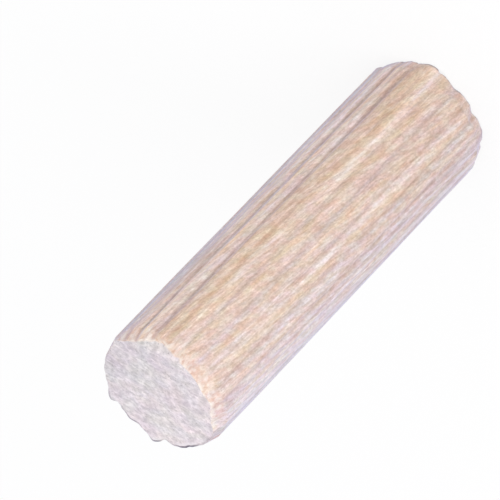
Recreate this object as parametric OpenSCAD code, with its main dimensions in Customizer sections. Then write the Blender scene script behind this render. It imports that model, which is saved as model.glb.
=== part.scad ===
// Fluted dowel pin: one piece of pale hardwood, turned to a rod, pressed with
// lengthwise flutes, sawn to length and chamfered at both ends. It stands on
// its lower end, with its axis on Z and its lower face at the origin.

/* [Shank] */
// Diameter across the flute crests, which is the size of the hole it fits
pin_d = 9.525; // [6:0.025:16]
// Length from one sawn end to the other
pin_l = 31.75; // [16:0.25:80]

/* [Chamfered ends] */
// Length of each chamfer, along the pin
chamfer_l = 1.1; // [0.4:0.05:2.5]
// How far each chamfer draws the crests in, on the radius
chamfer_in = 0.28; // [0.1:0.02:0.8]

/* [Flutes] */
// Number of flutes round the shank
flute_count = 25; // [10:1:30]
// Depth of a flute's floor below the crests
flute_depth = 0.2; // [0.1:0.02:0.5]
// Width of a flute's mouth, from crest to crest
flute_w = 0.56; // [0.4:0.02:0.9]
// Turn of the first flute from the +X side, in degrees
flute_turn = -6; // [-8:0.5:8]
// Share of the chamfer's slope that the flutes follow as they run out over it
flute_lean = 0.5; // [0.2:0.1:1]

/* [Torn rims] */
// Share of their full bite that the torn chips at the two rims have
chip_share = 1; // [0.2:0.1:1.2]

/* [Hidden] */
$fn = 96;
// Room for a cutter to run past the face that it cuts through
clear = 0.5;

pin_r = pin_d / 2;
rim_r = pin_r - chamfer_in;
flute_tilt = atan(flute_lean * chamfer_in / chamfer_l);
pitch = 360 / flute_count;

// A flute is a round gouge. The chord across its mouth lies a little inside the
// crests, and the gouge's radius follows from that chord and the floor's depth.
mouth_r = sqrt(pow(pin_r, 2) - pow(flute_w / 2, 2));
flute_sag = mouth_r - (pin_r - flute_depth);
gouge_r = (pow(flute_w / 2, 2) + pow(flute_sag, 2)) / (2 * flute_sag);
// How far the gouge's axis stands outside the crests
gouge_out = gouge_r - flute_depth;
// Height above the chamfer's foot at which the gouge's axis bends inwards
gouge_rise = gouge_out * tan(flute_tilt / 2);
// How far back from that bend the leaning gouge starts, clear of the shank
gouge_lead = flute_depth / tan(flute_tilt) + clear;

// Where fibres tore off each rim as the rod was sawn: the angle round the pin,
// the radius of the scoop that is left, and how deep it bites into the corner
top_chips = [
    [71, 0.5, 0.1],
    [96, 1.2, 0.12],
    [125, 0.6, 0.24],
    [152, 1.8, 0.1],
    [218, 1.2, 0.14],
    [308, 2.2, 0.2]
];
bottom_chips = [
    [190, 1, 0.2],
    [243, 1.2, 0.26],
    [270, 0.9, 0.14]
];

// The rod with its two chamfers, as one revolved outline
module turned_rod() {
    rotate_extrude()
        polygon([
            [0, 0],
            [rim_r, 0],
            [pin_r, chamfer_l],
            [pin_r, pin_l - chamfer_l],
            [rim_r, pin_l],
            [0, pin_l]
        ]);
}

// Copies of what is given, one at each flute
module at_each_flute() {
    for (i = [0 : flute_count - 1])
        rotate([0, 0, flute_turn + i * pitch])
            children();
}

// The gouge that cuts one flute along the shank, on the +X side
module shank_gouge() {
    translate([pin_r + gouge_out, 0, -clear])
        cylinder(h = pin_l + 2 * clear, r = gouge_r);
}

// The same gouge over the upper chamfer: its axis leans in less than the chamfer
// does, so the flute grows shallow and ends as a slight scallop in the rim
module chamfer_gouge() {
    translate([pin_r + gouge_out, 0, pin_l - chamfer_l + gouge_rise])
        rotate([0, -flute_tilt, 0])
            translate([0, 0, -gouge_lead])
                cylinder(h = gouge_lead + chamfer_l + clear, r = gouge_r);
}

// A scoop out of the corner between the upper end face and its chamfer
module chip(turn, scoop_r, bite) {
    reach = scoop_r - bite * chip_share;
    rotate([0, 0, turn])
        translate([rim_r + reach * cos(45), 0, pin_l + reach * sin(45)])
            sphere(r = scoop_r);
}

// The rod with its flutes pressed from end to end along the shank
module fluted_rod() {
    difference() {
        turned_rod();
        at_each_flute()
            shank_gouge();
    }
}

// What is taken off at the upper end: the flutes' run-outs and the torn chips
module end_cuts(chips) {
    at_each_flute()
        chamfer_gouge();
    for (c = chips)
        chip(c[0], c[1], c[2]);
}

module dowel_pin() {
    color([0.86, 0.76, 0.68])
        difference() {
            fluted_rod();
            end_cuts(top_chips);
            translate([0, 0, pin_l])
                mirror([0, 0, 1])
                    end_cuts(bottom_chips);
        }
}

dowel_pin();
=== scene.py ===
# A fluted wooden dowel pin, standing on its lower sawn end on a plain white bench top.
import math

import bpy
import numpy as np
from mathutils import Matrix, Vector, noise


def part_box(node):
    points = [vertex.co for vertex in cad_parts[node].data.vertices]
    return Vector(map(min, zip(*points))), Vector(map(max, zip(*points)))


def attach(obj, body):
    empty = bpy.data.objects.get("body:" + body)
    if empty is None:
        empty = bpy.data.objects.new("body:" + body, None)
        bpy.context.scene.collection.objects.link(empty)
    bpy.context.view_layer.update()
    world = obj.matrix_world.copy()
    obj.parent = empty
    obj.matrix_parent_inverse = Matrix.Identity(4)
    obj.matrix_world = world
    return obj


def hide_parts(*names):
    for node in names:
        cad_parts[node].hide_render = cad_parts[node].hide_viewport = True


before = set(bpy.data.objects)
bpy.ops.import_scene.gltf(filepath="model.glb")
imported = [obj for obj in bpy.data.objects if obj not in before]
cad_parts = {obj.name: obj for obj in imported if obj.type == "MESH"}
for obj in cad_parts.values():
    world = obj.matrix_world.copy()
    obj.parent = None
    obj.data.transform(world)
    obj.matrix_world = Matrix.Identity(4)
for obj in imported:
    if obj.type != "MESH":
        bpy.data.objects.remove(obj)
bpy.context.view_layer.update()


# ---- Camera -------------------------------------------------------------------------------
# A long lens looks down on the standing pin from the front. The camera is rolled so far that
# the pin lies across the frame, with its upper end at the lower left.

pin_low, pin_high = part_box("dowel_pin")
camera_height_deg = 34.5
camera_roll_deg = -136.05
camera_distance = 0.535
aim_right = -0.00308
aim_up = 0.00016
sensor_width_mm = 36
lens_length_mm = 574

looking_down = math.radians(camera_height_deg)
to_camera = Vector((0, -math.cos(looking_down), math.sin(looking_down)))
level_right = Vector((1, 0, 0))
level_up = to_camera.cross(level_right)
roll = math.radians(camera_roll_deg)
frame_right = level_right * math.cos(roll) + level_up * math.sin(roll)
frame_up = level_up * math.cos(roll) - level_right * math.sin(roll)
pin_middle = (Vector(pin_low) + Vector(pin_high)) / 2

camera = bpy.data.objects.new("camera", bpy.data.cameras.new("camera"))
camera.data.sensor_width = sensor_width_mm
camera.data.lens = lens_length_mm
camera.data.clip_start = 0.01
camera.data.clip_end = 5
aimed_at = pin_middle + frame_right * aim_right + frame_up * aim_up
camera.location = aimed_at + to_camera * camera_distance
camera.rotation_euler = Matrix((frame_right, frame_up, to_camera)).transposed().to_euler()
bpy.context.collection.objects.link(camera)
bpy.context.scene.camera = camera


# ---- Pin ----------------------------------------------------------------------------------
# One stick of pale, close-grained hardwood, turned to a rod. Flutes are pressed into it from
# end to end, and the saw that cuts it to length leaves a chamfer and a torn rim at each end.

mm = 0.001
crest_radius = (pin_high[1] - pin_low[1]) / 2
pin_length = pin_high[2] - pin_low[2]
chamfer_length = 1.1 * mm
chamfer_in = 0.28 * mm

flutes = 25
first_flute = math.radians(-6)
flute_depth = 0.2 * mm
flute_half_mouth = 0.28 * mm
flute_pitch = 2 * math.pi / flutes
# How far the flutes' edges wander, how much their depth varies along the pin, and how much
# shallower they grow over a chamfer
edge_wander = 0.03 * mm
depth_variation = 0.25
flute_fade = 0.75
# How much the wood is worn back below the full crests, and how far its grain stands up again in
# broad ridges and in single fibres
crest_wear = 0.02 * mm
ridge_height = 0.02 * mm
fibre_height = 0.012 * mm
# How fully the rollers bit at each flute, going round from the first one
bite_shares = [0.9, 0.8, 0.9, 1, 0.8, 0.9, 1, 0.9, 0.8, 0.9, 1, 0.8, 0.7,
               0.8, 0.25, 0.3, 0.35, 0.3, 0.35, 0.25, 0.3, 0.3, 0.6, 0.5, 0.3]
# How much painted shade lies along the floor of each flute
floor_shade_shares = [0.5, 0.5, 0.6, 0.7, 0.5, 0.6, 0.7, 0.6, 0.5, 0.6, 0.7, 0.6, 0.5,
                 0.4, 0.1, 0.1, 0.3, 0.25, 0.4, 0.25, 0.3, 0.2, 0.5, 0.25, 0.05]
floor_shade_half_width = 0.12 * mm
floor_shade_fade = 0.3

# Where a rim swells out or is worn in: the angle round the pin, how far the swelling reaches
# before and after it in degrees, and its size in mm
upper_lobes = [(64.5, 12, 3, 0.5), (85, 6, 4, 0.08), (94, 5, 7, -0.14), (111, 4.5, 8, 0.46),
               (125, 5, 7, -0.31), (158, 16, 16, -0.13), (206, 8, 8, -0.27),
               (219, 9, 8, -0.25), (243, 10, 10, -0.28), (258, 9, 8, -0.1), (348, 8, 8, 0.25)]
lower_lobes = [(168, 8, 8, 0.27), (190, 8, 9, -0.24), (205, 5, 5, -0.2), (222, 5, 5, 0.06),
               (242, 7, 6, -0.3), (270, 7, 6, -0.2), (284, 3.5, 3.5, 0.15), (295, 14, 12, 0.46),
               (314, 6, 6, 0.14), (340, 16, 12, -0.07), (5, 8, 10, 0.3), (60, 12, 12, 0.1),
               (120, 15, 15, -0.1)]
# Where a piece of the upper rim came away with the saw, and how far down its side it took
upper_tears = [(298, 13, 24, 0.54), (280, 4, 6, 0.24)]
tear_slope = 0.8
tear_raggedness = 0.3
# Where painted shade darkens the edge of each rim: laid out as the lobes are, with a share for size
upper_rim_shades = [(62, 8, 8, 0.4), (88, 12, 10, 0.7), (115, 6, 6, 1.1), (149, 13, 16, 1.9),
                 (182, 16, 14, 0.3)]
lower_rim_shades = [(195, 16, 8, 0.5), (217, 8, 10, 0.8), (248, 10, 8, 0.5), (266, 8, 8, 0.7),
                 (292, 14, 16, 0.8), (322, 12, 12, 0.7), (345, 12, 12, 0.5)]
# Torn chips: the angle round the pin, the radius of the scoop and how deep it bites, in mm
upper_chips = [(71, 0.5, 0.1), (96, 1.2, 0.08), (125, 0.6, 0.1), (218, 1.2, 0.06)]
lower_chips = [(190, 1.0, 0.1), (243, 1.2, 0.1), (270, 0.9, 0.08)]
small_nicks = 16

# Columns of points round the pin and rows along it, which lie closer over both chamfers
columns = 20 * flutes
rows_near_end = 30
rows_along_shank = 107
turn = first_flute + 2 * math.pi * np.arange(columns) / columns
near_end = np.linspace(0.03, 1.6, rows_near_end) * mm
along_shank = np.linspace(near_end[-1], pin_length - near_end[-1], rows_along_shank)[1:-1]
heights = np.concatenate([near_end, along_shank, pin_length - near_end[::-1]])
# Rings of points on each end face: how far in from the rim the first one lies, then the radius
# of each further one as a share of the rim's
worn_edge = 0.035 * mm
ring_shares = [0.975, 0.955, 0.93, 0.9, 0.865, 0.82, 0.76, 0.68, 0.58, 0.46, 0.32, 0.16]


def fibre_noise(points, across, along, seed):
    """Noise from -1 to 1 at each point, drawn out along the grain. Both sizes are in metres."""
    stretch = np.array([1 / across, 1 / across, 1 / along])
    return np.array([noise.noise(Vector(p) + Vector((seed, 0, 0))) for p in points * stretch])


def on_round(radius, angle, height):
    """Points at a radius, an angle and a height, as one list of places."""
    radius, angle, height = np.broadcast_arrays(radius, angle, height)
    spots = np.stack([radius * np.cos(angle), radius * np.sin(angle), height], axis=-1)
    return spots.reshape(-1, 3)


def round_rim(lobes):
    """A list of lobes laid out all the way round a rim, each with soft shoulders."""
    steepness = 1.4
    level = np.zeros(columns)
    for centre, before, after, size in lobes:
        away = (np.degrees(turn) - centre + 180) % 360 - 180
        width = np.where(away < 0, before, after)
        level += size * np.exp(-((away / width) ** 2) * steepness)
    return level


def side_points():
    """The fluted side, row by row from the lower rim, and what the material reads of each point:
    how deep in a flute it is, how near the flute's floor, how far out on a chamfer, and how far
    it lies above a tear's lower edge."""
    angle, height = np.meshgrid(turn, heights)
    rod = on_round(crest_radius, angle, height)
    shape = angle.shape
    wander = fibre_noise(rod, 1.5 * mm, 12 * mm, seed=3.1).reshape(shape) * edge_wander
    uneven_bite = fibre_noise(rod, 1.4 * mm, 5 * mm, seed=8.7).reshape(shape)
    pressed = 1 + depth_variation * uneven_bite

    number = np.round((angle - first_flute) / flute_pitch)
    flute = number.astype(int) % flutes
    off_centre = (angle - first_flute - number * flute_pitch) * crest_radius + wander
    # How near each point lies to its flute's floor, where the painted shade goes
    floor_shade = np.exp(-((off_centre / floor_shade_half_width) ** 2))
    floor_shade = floor_shade * np.array(floor_shade_shares)[flute] * pressed ** 3
    # A round bowl between the flute's two edges, which are softened a little
    bowl = 1 - (off_centre / flute_half_mouth) ** 2
    sharpness = 7
    in_flute = np.logaddexp(0, sharpness * bowl) / sharpness * np.array(bite_shares)[flute] * pressed

    from_end = np.minimum(height, pin_length - height)
    on_chamfer = np.clip(1 - from_end / chamfer_length, 0, 1)
    uneven = np.where(height > pin_length / 2, round_rim(upper_lobes), round_rim(lower_lobes))
    chamfer = (chamfer_in - uneven * mm) * on_chamfer
    splinters = fibre_noise(rod, 0.35 * mm, 0.8 * mm, seed=47.2).reshape(shape)
    ragged = 1 + tear_raggedness * splinters
    tear = round_rim(upper_tears) * mm * ragged - (pin_length - height)
    in_flute *= 1 - flute_fade * on_chamfer
    coarse = fibre_noise(rod, 0.5 * mm, 7 * mm, seed=21.3).reshape(shape) * ridge_height
    fine = fibre_noise(rod, 0.16 * mm, 2.2 * mm, seed=34.9).reshape(shape) * fibre_height
    radius = crest_radius - crest_wear - chamfer - in_flute * flute_depth + coarse + fine
    radius -= tear_slope * np.clip(tear, 0, None)
    floor_shade *= 1 - floor_shade_fade * on_chamfer
    read = [np.ravel(values) for values in (in_flute, floor_shade, on_chamfer, tear)]
    return on_round(radius, angle, height), read


def end_points(rim, level, inwards):
    """A sawn end face: a narrow worn edge inside the rim, then rings in to the middle."""
    reach = np.hypot(rim[:, 0], rim[:, 1])
    rings = [on_round(reach - worn_edge, turn, level)]
    rings += [on_round(reach * share, turn, level) for share in ring_shares]
    face = np.concatenate(rings + [np.array([[0, 0, level]])])
    hollow = 0.02 * mm
    face[:, 2] += inwards * hollow * (1 + fibre_noise(face, 1.1 * mm, 1, seed=55.5))
    return face


def torn(points, chip, level, inwards):
    """Pushes what a chip's scoop reaches back to the scoop's wall; gives how far each went."""
    angle, scoop_radius, bite = chip
    scoop_radius, bite = scoop_radius * mm, bite * mm
    outward = np.array([math.cos(math.radians(angle)), math.sin(math.radians(angle)), 0])
    upward = np.array([0, 0, -inwards])
    diagonal = (outward + upward) / math.sqrt(2)
    corner = outward * (crest_radius - chamfer_in) + np.array([0, 0, level])
    middle = corner + diagonal * (scoop_radius - bite)
    ragged = 1 + 0.1 * fibre_noise(points, 0.25 * mm, 0.5 * mm, seed=70 + angle)
    arm = points - middle
    along = arm @ -diagonal
    inside = (scoop_radius * ragged) ** 2 - (arm ** 2).sum(axis=1) + along ** 2
    push = np.sqrt(np.clip(inside, 0, None)) - along
    reached = (inside > 0) & ((arm ** 2).sum(axis=1) < (scoop_radius * ragged) ** 2)
    push = np.where(reached, push, 0)
    points -= diagonal * push[:, None]
    return push


def rim_nicks(seed, count):
    """Small chips all round a rim, where short fibres broke out under the saw."""
    dice = np.random.default_rng(seed)
    return [
        (dice.uniform(0, 360), dice.uniform(0.2, 0.6), dice.uniform(0.02, 0.07))
        for _ in range(count)
    ]


side, (flute_at, floor_shade_at, chamfer_at, tear_at) = side_points()
upper_face = end_points(side[-columns:], pin_length, -1)
lower_face = end_points(side[:columns], 0, 1)
points = np.concatenate([side, upper_face, lower_face])
upper_start = len(side)
lower_start = upper_start + len(upper_face)

broken = np.zeros(len(points))
for chip in upper_chips + rim_nicks(seed=11, count=small_nicks):
    broken += torn(points, chip, pin_length, -1)
for chip in lower_chips + rim_nicks(seed=12, count=small_nicks):
    broken += torn(points, chip, 0, 1)
points[:, 2] = np.clip(points[:, 2], 0, pin_length)


def ring_quads(lower_ring, upper_ring):
    """Quads between two rings of points, each given by its first number."""
    this = np.arange(columns)
    following = (this + 1) % columns
    quads = [lower_ring + this, lower_ring + following, upper_ring + following, upper_ring + this]
    return np.stack(quads, axis=1).tolist()


def fan(last_ring, middle):
    """Triangles from the last ring of an end face in to its middle point."""
    return [(last_ring + i, last_ring + (i + 1) % columns, middle) for i in range(columns)]


faces = []
for row in range(len(heights) - 1):
    faces += ring_quads(row * columns, (row + 1) * columns)
rings_on_face = range(len(ring_shares) + 1)
upper_rings = [upper_start - columns] + [upper_start + i * columns for i in rings_on_face]
for outer, inner in zip(upper_rings, upper_rings[1:]):
    faces += ring_quads(outer, inner)
faces += fan(upper_rings[-1], lower_start - 1)
lower_rings = [0] + [lower_start + i * columns for i in rings_on_face]
for outer, inner in zip(lower_rings, lower_rings[1:]):
    faces += ring_quads(inner, outer)
faces += [face[::-1] for face in fan(lower_rings[-1], len(points) - 1)]

pin_mesh = bpy.data.meshes.new("fluted_pin")
pin_mesh.from_pydata(points.tolist(), [], faces)
pin_mesh.polygons.foreach_set("use_smooth", [True] * len(faces))


def store(mesh, name, values):
    """Keeps one number for each point of the mesh, for the material to read."""
    mesh.attributes.new(name, "FLOAT", "POINT").data.foreach_set("value", values.astype(np.float32))


def with_faces(on_side, upper_edge=0, lower_edge=0, others=0, inwards=(1, 0.8)):
    """Values for the side, then for both end faces: what an edge adds to the outermost rings,
    by its share on each of them from the rim inwards, and the same for all the rest."""
    ends = [np.full(len(face), float(others)) for face in (upper_face, lower_face)]
    for end, edge in zip(ends, (upper_edge, lower_edge)):
        for ring, share in enumerate(inwards):
            end[ring * columns:(ring + 1) * columns] += edge * share
    return np.concatenate([on_side, *ends])


# How far down the side the painted highlight along the rims and the painted rim shade reach
rim_highlight_height = 0.18 * mm
rim_shade_height = 0.12 * mm
# How deep a tear goes before it is all end grain, and a chip before it is all broken wood
torn_depth = 0.08 * mm
chipped_depth = 0.05 * mm
from_end = np.minimum(side[:, 2], pin_length - side[:, 2])
on_upper_half = side[:, 2] > pin_length / 2
# How far each point lies from the nearest edge, a rim's or a tear's. A torn wall's own distance
# counts fourfold, so the painted rim highlight is narrow there.
from_edge = np.where(tear_at > 0, 4 * tear_at, np.minimum(-tear_at, from_end))
from_edge = np.where(on_upper_half, from_edge, from_end)
# Painted shade along parts of both rims' edges
shaded_upper_rim = round_rim(upper_rim_shades)
shaded_lower_rim = round_rim(lower_rim_shades)
rim_shade = np.where(on_upper_half, np.tile(shaded_upper_rim, len(heights)), np.tile(shaded_lower_rim, len(heights)))
rim_shade = rim_shade * np.exp(-((from_end / rim_shade_height) ** 2))
store(pin_mesh, "end_grain", np.clip(with_faces(tear_at / torn_depth, others=1), 0, 1))
store(pin_mesh, "flute", with_faces(flute_at))
store(pin_mesh, "floor_shade", with_faces(floor_shade_at))
store(pin_mesh, "chamfer", with_faces(chamfer_at))
store(pin_mesh, "broken", np.clip(broken / chipped_depth, 0, 1))
# The painted highlight along both rims, stored as the rim attribute
rim_highlight_mask = np.exp(-((from_edge / rim_highlight_height) ** 2))
rim_highlight_mask = with_faces(rim_highlight_mask, upper_edge=0.3, lower_edge=0.3)
store(pin_mesh, "rim", np.clip(rim_highlight_mask, 0, 1))
# Each stretch of painted rim shade is dark at the rim, with a painted highlight just inside it
rim_shade = with_faces(rim_shade, shaded_upper_rim, shaded_lower_rim, inwards=(1, 0.7, -1, -0.6))
store(pin_mesh, "rim_shade", np.clip(rim_shade, 0, 1))
store(pin_mesh, "rim_inner_highlight", np.clip(-rim_shade, 0, 1))
pin_mesh.update()

pin = bpy.data.objects.new("fluted_pin", pin_mesh)
bpy.context.collection.objects.link(pin)


def tone(red, green, blue):
    """A colour given 0 to 255, for a shader's socket."""
    def light(level):
        level /= 255
        return level / 12.92 if level <= 0.04045 else ((level + 0.055) / 1.055) ** 2.4
    return (light(red), light(green), light(blue), 1)


def put(tree, kind, inputs=None, **settings):
    """Adds a node, sets what it is told, and joins or fills the named inputs."""
    made = tree.nodes.new("ShaderNode" + kind)
    for name, value in settings.items():
        setattr(made, name, value)
    for name, value in (inputs or {}).items():
        if isinstance(value, bpy.types.NodeSocket):
            tree.links.new(value, made.inputs[name])
        else:
            made.inputs[name].default_value = value
    return made


def blend(tree, share, under, over, how="MIX"):
    """One colour laid over another by a share from 0 to 1."""
    inputs = {0: share, 6: under, 7: over}
    return put(tree, "Mix", inputs, data_type="RGBA", blend_type=how).outputs[2]


def stepped(tree, value, low, high, bottom=0, top=1):
    """A value stretched from low..high to bottom..top, with soft shoulders."""
    inputs = {0: value, 1: low, 2: high, 3: bottom, 4: top}
    return put(tree, "MapRange", inputs, interpolation_type="SMOOTHSTEP").outputs[0]


def figured(tree, op, first, second=0.0):
    """Plain arithmetic on two values."""
    return put(tree, "Math", {0: first, 1: second}, operation=op).outputs[0]


def grain_group():
    """Streaks drawn out along one direction, from long fibres seen side-on."""
    group = bpy.data.node_groups.new("Grain streaks", "ShaderNodeTree")
    add = group.interface.new_socket
    add("Place", in_out="INPUT", socket_type="NodeSocketVector")
    for name in ("Width", "Length", "Seed", "Detail", "Waver"):
        add(name, in_out="INPUT", socket_type="NodeSocketFloat")
    add("Streak", in_out="OUTPUT", socket_type="NodeSocketFloat")
    given = group.nodes.new("NodeGroupInput").outputs
    across = figured(group, "DIVIDE", 1.0, given["Width"])
    along = figured(group, "DIVIDE", 1.0, given["Length"])
    scale = put(group, "CombineXYZ", {0: across, 1: across, 2: along}).outputs[0]
    place = put(group, "VectorMath", {0: given["Place"], 1: scale}, operation="MULTIPLY").outputs[0]
    streak = put(group, "TexNoise", {
        "Vector": place, "W": given["Seed"], "Scale": 1, "Detail": given["Detail"],
        "Distortion": given["Waver"],
    }, noise_dimensions="4D")
    result = group.nodes.new("NodeGroupOutput")
    group.links.new(streak.outputs[0], result.inputs["Streak"])
    return group


grain_streaks = grain_group()


def streaks(tree, place, width, length, seed, detail=1, waver=0):
    """One layer of grain streaks, sized in metres."""
    return put(tree, "Group", {
        "Place": place, "Width": width, "Length": length, "Seed": seed, "Detail": detail,
        "Waver": waver,
    }, node_tree=grain_streaks).outputs[0]


def grained(tree, colour, place, layers, seed, waver=0):
    """A colour with layers of streaks over it. Each layer: the width and length of its streaks
    in mm, how rough their edges are, from where to where a streak goes from dark to light, and
    what its dark and its light do to the colour below."""
    for number, (width, length, detail, low, high, dark, light) in enumerate(layers):
        streak = streaks(tree, place, width * mm, length * mm, seed + 4.0 * number, detail, waver)
        tint = blend(tree, stepped(tree, streak, low, high), (*dark, 1), (*light, 1))
        colour = blend(tree, 1.0, colour, tint, "MULTIPLY")
    return colour


def dowel_wood():
    """Bare pale hardwood: long grain on the side, sawn end grain and torn rims, with painted shade in
    the flutes and painted shade and highlights along the rims.
    """
    wood = bpy.data.materials.new("dowel_wood")
    wood.use_nodes = True
    tree = wood.node_tree
    tree.nodes.clear()
    place = put(tree, "TexCoord").outputs["Object"]
    stored = {name: put(tree, "Attribute", attribute_name=name).outputs["Fac"]
              for name in ("end_grain", "flute", "floor_shade", "chamfer", "broken", "rim", "rim_shade",
                           "rim_inner_highlight")}

    # Long grain: the stick's own bands of colour with painted shade and painted highlights at some
    # flutes, crests and edges worked in, going round it in degrees from the -X side past the front
    # to the +X side, and the same again behind, and browner towards the foot
    slate, ash, pearl = tone(209, 199, 196), tone(222, 208, 206), tone(243, 228, 223)
    dusk, rose = tone(214, 197, 198), tone(226, 208, 204)
    shell, cream, milk = tone(233, 217, 210), tone(231, 211, 200), tone(238, 217, 207)
    fawn, gold, tan = tone(227, 204, 192), tone(223, 197, 177), tone(230, 204, 181)
    sand, straw, chalk = tone(232, 209, 189), tone(238, 212, 186), tone(250, 232, 220)
    bark, husk, amber = tone(213, 192, 182), tone(236, 219, 211), tone(241, 212, 183)
    figure_and_painted_shade = [
        (3, rose), (12, slate), (19, pearl), (26, ash), (33, shell), (38, dusk), (43, rose),
        (51, fawn), (56, ash), (63, gold), (69, cream), (75, fawn), (80, gold), (88, rose),
        (93, milk), (98, sand), (107, milk), (115, straw), (119, gold), (122, tan),
        (127, gold), (131, fawn), (136, husk), (141, amber), (144.5, bark), (148.5, milk),
        (152.5, chalk), (156, fawn), (159.5, fawn), (162.5, ash), (167, slate), (175, fawn),
    ]
    # X and Y are both turned about, so that the angle starts from the -X side
    spot = put(tree, "SeparateXYZ", {0: place}).outputs
    back_x = figured(tree, "MULTIPLY", spot["X"], -1)
    back_y = figured(tree, "MULTIPLY", spot["Y"], -1)
    way_round = figured(tree, "ARCTAN2", back_y, back_x)
    waver = streaks(tree, place, 0.9 * mm, 9 * mm, seed=40.0)
    way_round = figured(tree, "ADD", way_round, stepped(tree, waver, 0.3, 0.7, -0.04, 0.04))
    share_round = figured(tree, "DIVIDE", figured(tree, "ABSOLUTE", way_round), math.pi)
    ramp = put(tree, "ValToRGB", {0: share_round})
    while len(ramp.color_ramp.elements) < len(figure_and_painted_shade):
        ramp.color_ramp.elements.new(0.5)
    for element, (degrees, band) in zip(ramp.color_ramp.elements, figure_and_painted_shade):
        element.position = degrees / 180
        element.color = band
    foot = stepped(tree, spot["Z"], 0.35 * pin_length, 0, 0, 0.6)
    long_grain = blend(tree, foot, ramp.outputs[0], (0.97, 0.95, 0.93, 1), "MULTIPLY")
    # Bands and thin lines that keep to the stick's length
    plain = (1, 1, 1)
    long_grain = grained(tree, long_grain, place, [
        (0.55, 30.0, 1, 0.35, 0.65, (0.93, 0.89, 0.84), (1.05, 1.08, 1.12)),
        (0.13, 14.0, 1, 0.33, 0.46, (0.91, 0.90, 0.89), plain),
        (0.14, 9.0, 1, 0.54, 0.67, plain, (1.09, 1.10, 1.11)),
    ], seed=0.0)
    # The fibres themselves wind round the stick, a few degrees off its own length
    radians_per_metre = -42.0
    winding = figured(tree, "MULTIPLY", spot["Z"], radians_per_metre)
    fibres = put(tree, "VectorRotate", {"Vector": place, "Angle": winding},
                 rotation_type="Z_AXIS").outputs[0]
    long_grain = grained(tree, long_grain, fibres, [
        (0.50, 3.0, 0, 0.30, 0.70, (0.98, 0.98, 1.015), (1.02, 1.02, 0.98)),
        (0.55, 0.8, 0, 0.30, 0.70, (1.015, 0.965, 0.985), (0.99, 1.025, 1.01)),
        (0.28, 3.0, 2, 0.30, 0.70, (0.965, 0.935, 0.90), (1.025, 1.05, 1.075)),
        (0.14, 1.8, 2, 0.30, 0.70, (0.90, 0.89, 0.88), (1.07, 1.08, 1.09)),
        (0.45, 1.2, 1, 0.30, 0.70, (0.985, 0.955, 0.92), (1.01, 1.04, 1.07)),
        (0.26, 0.5, 1, 0.30, 0.70, (0.935, 0.915, 0.895), (1.05, 1.065, 1.08)),
        (0.15, 0.22, 1, 0.30, 0.70, (0.905, 0.90, 0.895), (1.075, 1.08, 1.085)),
        (0.08, 0.10, 1, 0.30, 0.70, (0.94, 0.935, 0.93), (1.05, 1.055, 1.06)),
    ], seed=12.0, waver=0.3)
    # Painted shade: the flutes are darker than the crests, and most of all along their floors
    in_flute = stepped(tree, stored["flute"], 0.3, 1.0, 0, 0.3)
    long_grain = blend(tree, in_flute, long_grain, (0.66, 0.64, 0.65, 1), "MULTIPLY")
    long_grain = blend(tree, stored["floor_shade"], long_grain, (0.66, 0.64, 0.66, 1), "MULTIPLY")
    # Over the chamfers the saw cut the fibres short, which leaves them blotched, pale and orange
    blotch = streaks(tree, place, 0.35 * mm, 0.5 * mm, seed=61.0, detail=2)
    blotch = stepped(tree, blotch, 0.42, 0.58)
    cut_short = blend(tree, blotch, tone(226, 182, 162), tone(250, 234, 224))
    sawn_share = stepped(tree, spot["Z"], 0, pin_length, 0.1, 0.4)
    sawn_share = figured(tree, "MULTIPLY", sawn_share, stepped(tree, stored["chamfer"], 0, 0.3))
    # The cut is cleaner on the -X side
    clean = stepped(tree, spot["X"], -0.7 * crest_radius, -0.92 * crest_radius)
    sawn_share = figured(tree, "MULTIPLY", sawn_share, stepped(tree, clean, 0, 1, 1, 0))
    long_grain = blend(tree, sawn_share, long_grain, cut_short)

    # End grain: short wavy marks of the saw and the rings, in greyer and pinker patches
    saw_lean = math.radians(-24)
    laid_down = put(tree, "VectorRotate", {"Vector": place, "Angle": math.radians(90)},
                    rotation_type="Y_AXIS").outputs[0]
    leaning = put(tree, "VectorRotate", {"Vector": laid_down, "Angle": saw_lean},
                  rotation_type="X_AXIS").outputs[0]
    end_grain = grained(tree, tone(231, 222, 222), leaning, [
        (1.6, 2.0, 1, 0.30, 0.70, (0.97, 1.005, 0.98), (1.02, 0.98, 1.00)),
        (0.8, 1.2, 1, 0.30, 0.70, (0.98, 0.985, 1.02), (1.01, 1.01, 0.985)),
        (0.22, 3.0, 1, 0.30, 0.70, (0.95, 0.95, 0.955), (1.03, 1.03, 1.03)),
        (0.90, 1.1, 1, 0.30, 0.70, (0.92, 0.92, 0.92), (1.06, 1.06, 1.06)),
        (0.32, 0.46, 1, 0.30, 0.70, (0.865, 0.86, 0.865), (1.10, 1.10, 1.10)),
        (0.17, 0.24, 2, 0.30, 0.70, (0.875, 0.88, 0.88), (1.09, 1.09, 1.09)),
        (0.10, 0.10, 0, 0.20, 0.33, (0.72, 0.72, 0.72), plain),
    ], seed=50.0, waver=0.5)
    # It is a little paler and warmer towards the -X side
    across = stepped(tree, spot["X"], 0.9 * crest_radius, -0.9 * crest_radius)
    drift = blend(tree, across, (0.94, 0.95, 0.96, 1), (1.05, 1.03, 1.03, 1))
    end_grain = blend(tree, 1.0, end_grain, drift, "MULTIPLY")

    # Both together, then the chips, the painted highlight along the rims, the painted shade at the
    # rims' edges and the painted highlight just inside that shade
    colour = blend(tree, stored["end_grain"], long_grain, end_grain)
    chipped = figured(tree, "MULTIPLY", stored["broken"], 0.35)
    colour = blend(tree, chipped, colour, tone(244, 230, 222))
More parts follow.
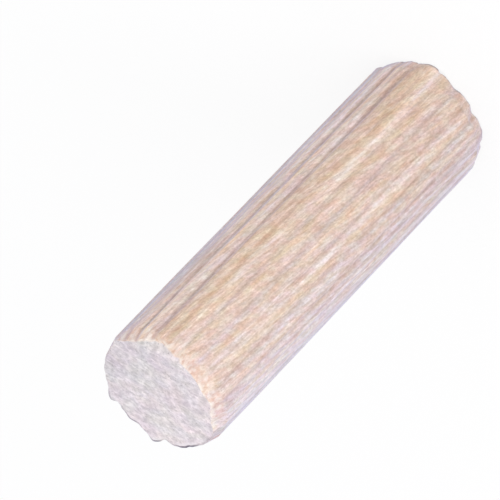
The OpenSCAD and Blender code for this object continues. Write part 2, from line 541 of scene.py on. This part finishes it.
    # Painted highlight along the rims in patches, strong on the front that faces the lamp and fainter
    # behind and on the -X side
    highlight_patches = streaks(tree, place, 0.45 * mm, 0.6 * mm, seed=21.0, detail=2)
    front_highlight = stepped(tree, highlight_patches, 0.42, 0.6)
    front_highlight = figured(tree, "MULTIPLY", front_highlight, stepped(tree, spot["Y"], 2 * mm, 0, 0.1, 0.8))
    front_highlight = figured(tree, "MULTIPLY", front_highlight, stepped(tree, clean, 0, 1, 1, 0.3))
    painted_rim_highlight = figured(tree, "MULTIPLY", stored["rim"], front_highlight)
    colour = blend(tree, painted_rim_highlight, colour, tone(252, 242, 232))
    # Painted shade at the rims' edges, then a painted highlight just inside it
    colour = blend(tree, stored["rim_shade"], colour, tone(104, 94, 104))
    rim_inner_highlight = figured(tree, "MULTIPLY", stored["rim_inner_highlight"], 0.6)
    colour = blend(tree, rim_inner_highlight, colour, tone(248, 242, 244))

    # Fine relief of fibres and pores, and a dull, dry surface with a soft sheen at its edges
    fibre = streaks(tree, place, 0.12 * mm, 1.4 * mm, seed=24.0, detail=2)
    pores_per_metre = 7000
    speckle = put(tree, "TexNoise", {
        "Vector": place, "Scale": pores_per_metre, "Detail": 2,
    }).outputs[0]
    height = figured(tree, "ADD", fibre, figured(tree, "MULTIPLY", speckle, 0.6))
    relief = put(tree, "Bump", {"Strength": 0.5, "Distance": 0.03 * mm, "Height": height}).outputs[0]
    dullness = stepped(tree, fibre, 0.3, 0.7, 0.68, 0.85)
    surface = put(tree, "BsdfPrincipled", {
        "Base Color": colour, "Roughness": dullness, "Normal": relief,
        "Specular IOR Level": 0.25, "Sheen Weight": 1.0, "Sheen Roughness": 0.4,
        "Sheen Tint": tone(222, 222, 254),
    })
    output = put(tree, "OutputMaterial")
    tree.links.new(surface.outputs[0], output.inputs["Surface"])
    return wood


pin_mesh.materials.append(dowel_wood())
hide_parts("dowel_pin")
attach(pin, "root")


# ---- Bench top and light ------------------------------------------------------------------
# A wide white board under the pin. The light is soft and nearly even, a little stronger from
# the front left, and the board keeps the pin's faint shadow.

board_mesh = bpy.data.meshes.new("bench_top")
half_board = 3
gap_below_pin = 0.01 * mm
# The board is light grey to the pin, and to the camera it is white with a glow that the pin's
# shadow still shows on
grey = (0.7, 0.7, 0.7, 1)
pure_white = (1, 1, 1, 1)
glow_share = 0.8
room_light = 0.84
corners = [(-half_board, -half_board, 0), (half_board, -half_board, 0),
           (half_board, half_board, 0), (-half_board, half_board, 0)]
board_mesh.from_pydata(corners, [], [(0, 1, 2, 3)])
board = bpy.data.objects.new("bench_top", board_mesh)
board.location.z = -gap_below_pin
bpy.context.collection.objects.link(board)


def seen_straight(tree):
    """1 where the camera looks straight at a thing, in a mirror or through glass; otherwise 0."""
    seen = put(tree, "LightPath").outputs
    straight = figured(tree, "MAXIMUM", seen["Is Camera Ray"], seen["Is Glossy Ray"])
    return figured(tree, "MAXIMUM", straight, seen["Is Transmission Ray"])


white = bpy.data.materials.new("white_board")
white.use_nodes = True
tree = white.node_tree
tree.nodes.clear()
straight = seen_straight(tree)
glow = figured(tree, "MULTIPLY", straight, glow_share)
paint = blend(tree, straight, grey, pure_white)
painted = put(tree, "BsdfDiffuse", {"Color": paint}).outputs[0]
glowing = put(tree, "Emission", {"Color": pure_white, "Strength": 1.0}).outputs[0]
mixed = put(tree, "MixShader", {0: glow, 1: painted, 2: glowing}).outputs[0]
tree.links.new(mixed, put(tree, "OutputMaterial").inputs["Surface"])
board_mesh.materials.append(white)

world = bpy.data.worlds.new("room")
bpy.context.scene.world = world
world.use_nodes = True
tree = world.node_tree
tree.nodes.clear()
straight = seen_straight(tree)
soft = put(tree, "Background", {"Color": (0.98, 0.98, 1, 1), "Strength": room_light}).outputs[0]
white_wall = put(tree, "Background", {"Color": pure_white, "Strength": 1.0}).outputs[0]
mixed = put(tree, "MixShader", {0: straight, 1: soft, 2: white_wall}).outputs[0]
tree.links.new(mixed, put(tree, "OutputWorld").inputs["Surface"])

# One square soft lamp that faces the pin's middle
lamp_distance = 0.5
lamp = bpy.data.objects.new("key_lamp", bpy.data.lights.new("key_lamp", "AREA"))
lamp.data.size = 0.35
lamp.data.energy = 1.0
lamp.location = pin_middle + Vector((-0.4, -0.9, 0.57)).normalized() * lamp_distance
lamp.rotation_euler = (pin_middle - lamp.location).to_track_quat("-Z", "Y").to_euler()
lamp.visible_camera = False
bpy.context.collection.objects.link(lamp)

bpy.context.scene.view_settings.view_transform = "Standard"
